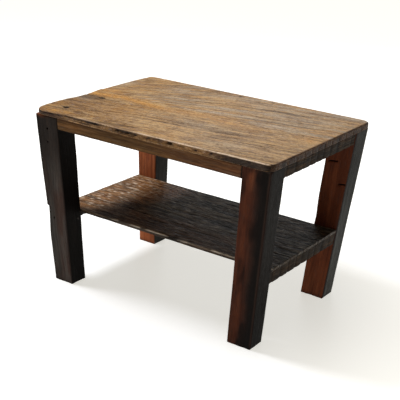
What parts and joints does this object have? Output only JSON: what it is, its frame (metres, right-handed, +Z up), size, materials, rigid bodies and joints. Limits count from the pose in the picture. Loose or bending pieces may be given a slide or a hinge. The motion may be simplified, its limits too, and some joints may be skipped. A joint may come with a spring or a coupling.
{
  "type": "low table with shelf",
  "caption": "Low rustic timber table with a lower shelf: thick plank top on leaning square posts, joined by tenoned rails.",
  "frame": {"origin": "on the floor under the middle of the table's bounding box", "axes": "+X along the length to the right end, front is -Y, +Z up"},
  "size_m": [0.7486, 0.5284, 0.512],
  "materials": {
    "top_timber": "weathered, waxed",
    "leg_timber": "weathered, dark stained",
    "rail_timber": "weathered, waxed",
    "shelf_timber": "weathered, wire brushed",
    "peg_timber": "raw hardwood",
    "screw_steel": "zinc plated"
  },
  "bodies": {
    "root": {"top_board_front": "top_timber", "top_board_back": "top_timber", "leg_front_left": "leg_timber", "leg_front_right": "leg_timber", "leg_back_left": "leg_timber", "leg_back_right": "leg_timber", "front_rail": "rail_timber", "back_rail": "rail_timber", "left_end_rail": "rail_timber", "right_end_rail": "rail_timber", "shelf_rail_left": "rail_timber", "shelf_rail_right": "rail_timber", "shelf_board_front": "shelf_timber", "shelf_board_back": "shelf_timber", "top_tongue": "peg_timber", "shelf_tongue": "peg_timber", "long_rail_pegs": "peg_timber", "end_rail_pegs": "peg_timber", "shelf_rail_pegs": "peg_timber", "top_screws": "screw_steel", "shelf_screws": "screw_steel"}
  },
  "joints": []
}
